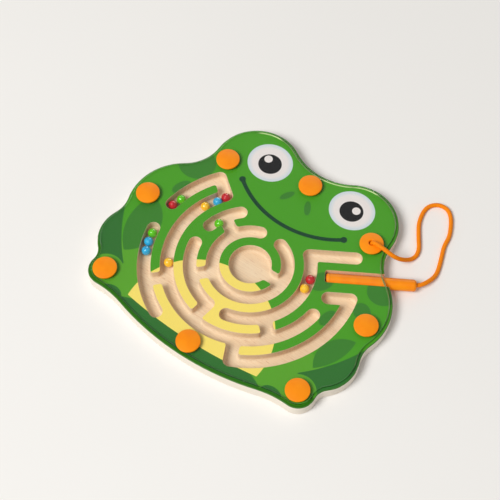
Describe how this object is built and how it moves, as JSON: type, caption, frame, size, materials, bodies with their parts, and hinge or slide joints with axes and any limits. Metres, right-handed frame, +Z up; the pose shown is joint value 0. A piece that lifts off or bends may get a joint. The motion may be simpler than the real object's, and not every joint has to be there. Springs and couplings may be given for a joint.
{
  "type": "magnetic maze board",
  "caption": "Frog-shaped wooden maze board with a clear cover, coloured steel balls in milled ring channels and a tethered magnetic pen that steers them.",
  "frame": {"origin": "underside of the board, straight below the middle of the maze's round pit", "axes": "+Z up from the underside to the clear cover, +Y to the frog's head, +X to the side that holds the pen"},
  "size_m": [0.2539, 0.2441, 0.0217],
  "materials": {
    "printed_wood": "printed plywood, bare wood in the milled channels",
    "clear_sheet": "clear polished acrylic",
    "orange_plug": "satin",
    "orange_pen": "satin",
    "braided_cord": "braided",
    "magnet_steel": "plated",
    "red_ball": "gloss enamel",
    "green_ball": "gloss enamel",
    "blue_ball": "gloss enamel",
    "yellow_ball": "gloss enamel"
  },
  "bodies": {
    "board": {"base_board": "printed_wood", "cover_sheet": "clear_sheet", "crown_plug": "orange_plug", "left_cheek_plug": "orange_plug", "cord_plug": "orange_plug", "left_side_plug": "orange_plug", "right_side_plug": "orange_plug", "left_foot_plug": "orange_plug", "right_foot_plug": "orange_plug", "belly_plug": "orange_plug", "anchor_knot": "braided_cord", "cord": "braided_cord"},
    "pen": {"pen_barrel": "orange_pen", "pen_tip_cap": "orange_pen", "pen_magnet": "magnet_steel", "pen_knot": "braided_cord"},
    "ball_green_1": {"ball_green_1": "green_ball"},
    "ball_red_1": {"ball_red_1": "red_ball"},
    "ball_yellow_1": {"ball_yellow_1": "yellow_ball"},
    "ball_blue_1": {"ball_blue_1": "blue_ball"},
    "ball_red_2": {"ball_red_2": "red_ball"},
    "ball_yellow_2": {"ball_yellow_2": "yellow_ball"},
    "ball_green_2": {"ball_green_2": "green_ball"},
    "ball_blue_3": {"ball_blue_3": "blue_ball"},
    "ball_blue_2": {"ball_blue_2": "blue_ball"},
    "ball_green_3": {"ball_green_3": "green_ball"},
    "ball_yellow_3": {"ball_yellow_3": "yellow_ball"},
    "ball_red_3": {"ball_red_3": "red_ball"}
  },
  "joints": [
    {"name": "pen_slide", "type": "slide", "parent": "board", "child": "pen", "axis": [0.866, 0.5, 0], "range_m": [0, 0.05], "deforming": ["cord"]},
    {"name": "ball_green_1_roll", "type": "hinge", "parent": "board", "child": "ball_green_1", "pos_m": [0, 0, 0.00705], "axis": [0, 0, 1], "range_deg": [-24, 0]},
    {"name": "ball_red_1_roll", "type": "hinge", "parent": "board", "child": "ball_red_1", "pos_m": [0, 0, 0.00705], "axis": [0, 0, 1], "range_deg": [-24, 0]},
    {"name": "ball_yellow_1_roll", "type": "hinge", "parent": "board", "child": "ball_yellow_1", "pos_m": [0, 0, 0.00705], "axis": [0, 0, 1], "range_deg": [0, 46]},
    {"name": "ball_blue_1_roll", "type": "hinge", "parent": "board", "child": "ball_blue_1", "pos_m": [0, 0, 0.00705], "axis": [0, 0, 1], "range_deg": [0, 46]},
    {"name": "ball_red_2_roll", "type": "hinge", "parent": "board", "child": "ball_red_2", "pos_m": [0, 0, 0.00705], "axis": [0, 0, 1], "range_deg": [0, 46]},
    {"name": "ball_yellow_2_roll", "type": "hinge", "parent": "board", "child": "ball_yellow_2", "pos_m": [0, 0, 0.00705], "axis": [0, 0, 1], "range_deg": [0, 140]},
    {"name": "ball_green_2_roll", "type": "hinge", "parent": "board", "child": "ball_green_2", "pos_m": [0, 0, 0.00705], "axis": [0, 0, 1], "range_deg": [-23, 10]},
    {"name": "ball_blue_3_roll", "type": "hinge", "parent": "board", "child": "ball_blue_3", "pos_m": [0, 0, 0.00705], "axis": [0, 0, 1], "range_deg": [0, 39.5]},
    {"name": "ball_blue_2_roll", "type": "hinge", "parent": "board", "child": "ball_blue_2", "pos_m": [0, 0, 0.00705], "axis": [0, 0, 1], "range_deg": [0, 39.5]},
    {"name": "ball_green_3_roll", "type": "hinge", "parent": "board", "child": "ball_green_3", "pos_m": [0, 0, 0.00705], "axis": [0, 0, 1], "range_deg": [0, 39.5]},
    {"name": "ball_yellow_3_roll", "type": "hinge", "parent": "board", "child": "ball_yellow_3", "pos_m": [0, 0, 0.00705], "axis": [0, 0, 1], "range_deg": [-88, 22]},
    {"name": "ball_red_3_roll", "type": "hinge", "parent": "board", "child": "ball_red_3", "pos_m": [0, 0, 0.00705], "axis": [0, 0, 1], "range_deg": [-88, 22]}
  ],
  "couplings": [
    {"joint": "ball_red_1_roll", "follows": "ball_green_1_roll", "ratio": 1},
    {"joint": "ball_blue_1_roll", "follows": "ball_yellow_1_roll", "ratio": 1},
    {"joint": "ball_red_2_roll", "follows": "ball_yellow_1_roll", "ratio": 1},
    {"joint": "ball_blue_2_roll", "follows": "ball_blue_3_roll", "ratio": 1},
    {"joint": "ball_green_3_roll", "follows": "ball_blue_3_roll", "ratio": 1},
    {"joint": "ball_red_3_roll", "follows": "ball_yellow_3_roll", "ratio": 1}
  ]
}
